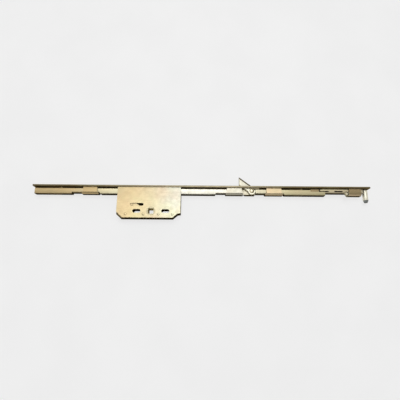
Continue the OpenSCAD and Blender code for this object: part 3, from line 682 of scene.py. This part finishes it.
def place_headed_pin(node, shank, sizes):
    """Makes a pin with an upset head, whose groove is painted with shade on its right, away from
    the light.
    """
    low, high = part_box(node)
    head = (high.x - low.x) / 2 + sizes.head_brim
    centre = Vector(((low.x + high.x) / 2, (low.y + high.y) / 2, 0))
    top = high.z
    seat = top - sizes.head_height
    floor = top - sizes.head_groove
    ease = sizes.pin_round / 2
    profile = [
        (0, low.z), (shank, low.z), (shank, seat), (head, seat), (head, top - ease),
        (RIM * head, top), (GROOVE_TOP[1] * head, top), (GROOVE_FLOOR[1] * head, floor),
        (GROOVE_FLOOR[0] * head, floor), (GROOVE_TOP[0] * head, top),
        (CROWN * head, top + ease), (0, top + ease),
    ]

    def ring(face):
        spot = face.calc_center_median() - centre
        reach = spot.xy.length / head
        inner, outer = GROOVE_FINISH
        if inner < reach < outer and seat < spot.z and spot.x > SHADE_SIDE * head:
            return 1
        return 2 if reach > inner else 0

    place(spun(profile, centre), node, [bright_zinc_pins, dark_grease, dull_zinc_inner], ring)


def lies_along(edge, axis):
    """Whether an edge runs along an axis."""
    run = (edge.verts[1].co - edge.verts[0].co).normalized()
    return abs(run[axis]) > ALONG


def middle(edge):
    """The middle of an edge."""
    return (edge.verts[0].co + edge.verts[1].co) / 2


class BOLT_OT_faceplate(bpy.types.Operator):
    """Makes the long strip with dull sheared edges"""

    bl_idname = "bolt.faceplate"
    bl_label = "Faceplate"

    def execute(self, context):
        place_rounded(
            "faceplate", context.scene.bolt_sizes.strip_round,
            [yellow_chromate_front, dull_sheared_steel],
            lambda face: int(face.normal.y < STRIP_FRONTWARD),
        )
        return {"FINISHED"}


class BOLT_OT_gearbox(bpy.types.Operator):
    """Makes the gearbox case, its cover, their rivets and the screw posts"""

    bl_idname = "bolt.gearbox"
    bl_label = "Gearbox"

    def execute(self, context):
        sizes = context.scene.bolt_sizes
        # Painted shade: the cover's narrow sides and the whole case take the dark olive brown
        place_rounded(
            "gearbox_cover", sizes.sheet_round, [yellow_chromate_cover, heavy_chromate_case],
            lambda face: int(face.normal.z < COVER_OUTWARD),
        )
        place_rounded("gearbox_case", sizes.sheet_round, [heavy_chromate_case])
        for node in ("screw_post_left", "screw_post_right"):
            place_rounded(node, sizes.inner_round, [dull_zinc_inner])
        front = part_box("gearbox_cover")[1].z
        shanks = []
        for low, high in islands("gearbox_rivets"):
            head = (high.x - low.x) / 2
            rim = front + (high.z - front) / 2
            upper = [(head, front)] + dome(head, sizes.head_rise, rim)
            lower = [(radius, -height) for radius, height in reversed(upper)]
            centre = Vector(((low.x + high.x) / 2, (low.y + high.y) / 2, 0))
            shanks.append(spun(lower + upper, centre))
        place(join(shanks), "gearbox_rivets", [yellow_chromate_cover])
        return {"FINISHED"}


class BOLT_OT_gearing(bpy.types.Operator):
    """Makes the follower pinion, the rack slider and their pins"""

    bl_idname = "bolt.gearing"
    bl_label = "Gearing"

    def execute(self, context):
        sizes = context.scene.bolt_sizes
        self.make_follower(sizes)
        self.make_rack(sizes)
        place_rounded("slider_pin", sizes.pin_round, [yellow_chromate_cover])
        place_rounded("rack_pins", sizes.pin_round, [bright_zinc_pins])
        return {"FINISHED"}

    def make_follower(self, sizes):
        """The toothed hub, with painted shade around its rim, in the gap to the cover."""
        follower = solid("follower_pinion")
        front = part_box("follower_pinion")[1].z

        def rims_the_hub(edge):
            straight = lies_along(edge, X_AXIS) or lies_along(edge, Y_AXIS)
            return middle(edge).z > front - SAME_CORNER and not straight

        def is_rim(face):
            low, high = HUB_RIM_OUTWARD
            height = face.calc_center_median().z
            return low < face.normal.z < high and height > front - sizes.hub_round

        soften(follower, sizes.hub_round, rims_the_hub)
        soften(follower, sizes.inner_round)
        place(
            follower, "follower_pinion", [yellow_chromate_hub, dark_grease],
            lambda face: int(is_rim(face)),
        )

    def make_rack(self, sizes):
        """The rack plate, painted in shade beyond a slanting brink, where it lies deep in the
        cover's slot.
        """
        rack = solid("rack_slider")
        soften(rack, sizes.inner_round)
        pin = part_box("slider_pin")[1]
        brink = Vector((pin.x + sizes.grease_free, pin.y, 0))
        bmesh.ops.bisect_plane(
            rack, geom=[*rack.verts, *rack.edges, *rack.faces], plane_co=brink, plane_no=SHADE_LEAN
        )
        place(
            rack, "rack_slider", [yellow_chromate_cover, dark_grease],
            lambda face: int((face.calc_center_median() - brink).dot(SHADE_LEAN) > 0),
        )


class BOLT_OT_drive_bar(bpy.types.Operator):
    """Makes the drawn bar that slides behind the faceplate"""

    bl_idname = "bolt.drive_bar"
    bl_label = "Drive Bar"

    def execute(self, context):
        sizes = context.scene.bolt_sizes
        bar = solid("drive_bar")
        low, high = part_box("drive_bar")
        hook_low, hook_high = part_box("hook")
        half_way = (low.y + high.y) / 2

        def lies_under_the_hook(edge):
            spot = middle(edge)
            return (
                lies_along(edge, X_AXIS) and hook_low.x < spot.x < hook_high.x
                and spot.y < low.y + SAME_CORNER
                and low.z + sizes.pocket_round < spot.z < hook_low.z
            )

        # Painted shade: the round under the hook's pocket takes the dark brown of the bar's shaded
        # lower edge
        def is_pocket_round(face):
            spot = face.calc_center_median()
            least, most = POCKET_FRONTWARD
            return (
                least < face.normal.y < most and face.normal.z > POCKET_OUTWARD
                and hook_low.x < spot.x < hook_high.x and spot.z < hook_low.z
            )

        soften(bar, sizes.pocket_round, lies_under_the_hook)
        soften(
            bar, sizes.bar_top_round,
            lambda edge: lies_along(edge, X_AXIS) and middle(edge).y > half_way,
        )
        soften(
            bar, sizes.bar_round,
            lambda edge: lies_along(edge, X_AXIS) and middle(edge).y < half_way,
        )
        place(
            bar, "drive_bar", [yellow_chromate_bar, dark_grease],
            lambda face: int(is_pocket_round(face)),
        )
        return {"FINISHED"}


class BOLT_OT_guide_straps(bpy.types.Operator):
    """Makes the four folded straps and the stud in the last one"""

    bl_idname = "bolt.guide_straps"
    bl_label = "Guide Straps"

    def execute(self, context):
        sizes = context.scene.bolt_sizes
        width = sizes.strap_round
        place_rounded("guide_strap_1", width, [golden_chromate_strap])
        place_rounded("guide_strap_2", width, [yellow_chromate_strap])
        place_rounded("guide_strap_3", width, [yellow_chromate_strap])
        place_rounded(
            "guide_strap_4", width, [bronze_chromate_steel, yellow_chromate_strap],
            lambda face: int(
                face.normal.y < LAST_STRAP_FRONTWARD and face.normal.z > LAST_STRAP_OUTWARD
            ),
        )
        place_headed_pin("guide_stud", sizes.stud_shank, sizes)
        return {"FINISHED"}


class BOLT_OT_hook(bpy.types.Operator):
    """Makes the swinging hook and the pin that it turns on"""

    bl_idname = "bolt.hook"
    bl_label = "Hook"

    def execute(self, context):
        sizes = context.scene.bolt_sizes
        least, most = HOOK_EDGE_OUTWARD
        # Painted shade: the hook's upper edges, which turn away from the light, take the dark olive
        # brown
        place_rounded(
            "hook", sizes.hook_round, [yellow_chromate_hook, heavy_chromate_case],
            lambda face: int(face.normal.y > HOOK_EDGE_FRONTWARD and least < face.normal.z < most),
        )
        place_headed_pin("hook_pin", sizes.hook_shank, sizes)
        return {"FINISHED"}


class BOLT_OT_end_rod(bpy.types.Operator):
    """Makes the coupling block, the slotted end rod and the rivets that join them to the bar"""

    bl_idname = "bolt.end_rod"
    bl_label = "End Rod"

    def execute(self, context):
        sizes = context.scene.bolt_sizes
        place_rounded("coupling_block", sizes.rod_round, [bronze_chromate_steel])
        recess = ROD_RECESS_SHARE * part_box("end_rod")[1].z
        # Painted shade: the floors of the rod's slots and recesses take the dark brown
        place_rounded(
            "end_rod", sizes.rod_round, [yellow_chromate_rod, dark_grease],
            lambda face: int(
                face.normal.z > ROD_RECESS_OUTWARD and face.calc_center_median().z < recess
            ),
        )
        place_rounded("coupling_rivet", sizes.pin_round, [yellow_chromate_bar])
        place(solid("lap_rivets"), "lap_rivets", [yellow_chromate_bar])
        return {"FINISHED"}


class BOLT_OT_end_bolt(bpy.types.Operator):
    """Makes the round bolt at the end of the rod and its rivet"""

    bl_idname = "bolt.end_bolt"
    bl_label = "End Bolt"

    def execute(self, context):
        sizes = context.scene.bolt_sizes
        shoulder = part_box("end_bolt")[0].y + sizes.bolt_tip
        # Painted shade: faces by the tip take the plain grey
        place_rounded(
            "end_bolt", sizes.pin_round, [cream_chromate_bolt, grey_hardened_tip],
            lambda face: int(face.calc_center_median().y < shoulder),
        )
        place_rounded("end_bolt_rivet", sizes.pin_round, [bright_zinc_pins])
        return {"FINISHED"}


class BOLT_OT_stage(bpy.types.Operator):
    """Sets the floor, the soft lamp, the room's light and the camera"""

    bl_idname = "bolt.stage"
    bl_label = "Stage"

    def execute(self, context):
        scene = context.scene
        self.make_floor(scene, scene.bolt_stage)
        self.make_light(scene, scene.bolt_stage)
        self.make_camera(scene)
        scene.view_settings.view_transform = "Standard"
        return {"FINISHED"}

    def make_floor(self, scene, stage):
        """A pale round floor whose rim rises out of sight, so that no horizon shows."""
        level = CAD_BOX[0][2]
        width = stage.floor_reach - stage.floor_flat
        turns = [math.pi / 2 * step / RIM_STEPS for step in range(RIM_STEPS + 1)]
        rim = [
            (stage.floor_flat + width * math.sin(turn), stage.floor_rim * (1 - math.cos(turn)))
            for turn in turns
        ]
        mesh = spun([(0, 0)] + rim, Vector((0, 0, level)))
        for face in mesh.faces:
            face.smooth = True
        data = bpy.data.meshes.new("floor")
        mesh.to_mesh(data)
        mesh.free()
        data.materials.append(self.pale_paper_floor(stage))
        floor = bpy.data.objects.new("floor", data)
        scene.collection.objects.link(floor)

    # Matt paper: white with faint patches, evenly lit to the eye and in the metal's reflections,
    # with the bolt's own soft shadow
    def pale_paper_floor(self, stage):
        material, tree, shader, coords = blank("pale_paper_floor")
        mottle = add(
            tree, "Mix",
            {0: patch(tree, coords, FLOOR_PATCH_MM, LINE_FADE), 6: rgba(stage.floor),
             7: rgba(stage.floor_patch)},
            data_type="RGBA",
        ).outputs[2]
        tree.links.new(mottle, shader.inputs["Base Color"])
        shader.inputs["Roughness"].default_value = 0.9
        shader.inputs["Specular IOR Level"].default_value = 0.0
        paths = add(tree, "LightPath").outputs
        seen = paths["Is Camera Ray"]
        for kind in ("Is Glossy Ray", "Is Transmission Ray"):
            seen = add(tree, "Math", {0: seen, 1: paths[kind]}, operation="MAXIMUM").outputs[0]
        share = add(tree, "Math", {0: seen, 1: stage.floor_glow}, operation="MULTIPLY").outputs[0]
        glow = add(tree, "Emission", {"Color": mottle, "Strength": 1.0}).outputs["Emission"]
        mixed = add(tree, "MixShader", {0: share, 1: shader.outputs["BSDF"], 2: glow})
        output = tree.nodes["Material Output"]
        tree.links.new(mixed.outputs["Shader"], output.inputs["Surface"])
        return material

    def make_light(self, scene, stage):
        """A soft lamp where the broad faces mirror it to the camera, and an even room."""
        world = bpy.data.worlds.new("room")
        world.use_nodes = True
        world.node_tree.nodes["Background"].inputs["Color"].default_value = rgba(stage.sky)
        scene.world = world
        lamp = bpy.data.lights.new("soft_lamp", "AREA")
        lamp.size = stage.lamp_size
        lamp.energy = stage.lamp_power
        slope = math.tan(CAMERA_TILT)
        spot = CAMERA_AIM + Vector((0, stage.lamp_height * slope, stage.lamp_height))
        holder = bpy.data.objects.new("soft_lamp", lamp)
        holder.location = spot
        holder.rotation_euler = (CAMERA_AIM - spot).to_track_quat("-Z", "Y").to_euler()
        scene.collection.objects.link(holder)

    def make_camera(self, scene):
        """The photograph's viewing angle."""
        across = Vector((1, 0, 0))
        up = Vector((0, math.cos(CAMERA_TILT), math.sin(CAMERA_TILT)))
        back = Vector((0, -math.sin(CAMERA_TILT), math.cos(CAMERA_TILT)))
        right = across * math.cos(CAMERA_ROLL) + up * math.sin(CAMERA_ROLL)
        top = up * math.cos(CAMERA_ROLL) - across * math.sin(CAMERA_ROLL)
        data = bpy.data.cameras.new("camera")
        data.lens = CAMERA_LENS
        data.sensor_width = CAMERA_SENSOR
        data.shift_x, data.shift_y = CAMERA_SHIFT
        data.clip_start = CAMERA_NEAR
        camera = bpy.data.objects.new("camera", data)
        turn = Matrix((right, top, back)).transposed().to_4x4()
        camera.matrix_world = Matrix.Translation(CAMERA_AIM + back * CAMERA_DISTANCE) @ turn
        scene.collection.objects.link(camera)
        scene.camera = camera


class BOLT_PT_pieces(bpy.types.Panel):
    """Lists the pieces of the bolt"""

    bl_idname = "BOLT_PT_pieces"
    bl_label = "Cremone Bolt"
    bl_space_type = "VIEW_3D"
    bl_region_type = "UI"
    bl_category = "Bolt"

    def draw(self, context):
        for operator in OPERATORS:
            self.layout.operator(operator.bl_idname)
        for holder in GROUPS:
            group = getattr(context.scene, holder)
            box = self.layout.box()
            for name in group.__annotations__:
                box.prop(group, name)


GROUPS = {"bolt_sizes": BoltSizes, "bolt_finishes": BoltFinishes, "bolt_stage": BoltStage}
OPERATORS = [
    BOLT_OT_faceplate, BOLT_OT_gearbox, BOLT_OT_gearing, BOLT_OT_drive_bar, BOLT_OT_guide_straps,
    BOLT_OT_hook, BOLT_OT_end_rod, BOLT_OT_end_bolt, BOLT_OT_stage,
]
CLASSES = [*GROUPS.values(), *OPERATORS, BOLT_PT_pieces]


def register():
    for kind in CLASSES:
        bpy.utils.register_class(kind)
    for name, group in GROUPS.items():
        setattr(bpy.types.Scene, name, PointerProperty(type=group))


def unregister():
    for name in GROUPS:
        delattr(bpy.types.Scene, name)
    for kind in reversed(CLASSES):
        bpy.utils.unregister_class(kind)


def main():
    register()
    bpy.ops.bolt.faceplate()
    bpy.ops.bolt.gearbox()
    bpy.ops.bolt.gearing()
    bpy.ops.bolt.drive_bar()
    bpy.ops.bolt.guide_straps()
    bpy.ops.bolt.hook()
    bpy.ops.bolt.end_rod()
    bpy.ops.bolt.end_bolt()
    bpy.ops.bolt.stage()


if __name__ == "__main__":
    main()
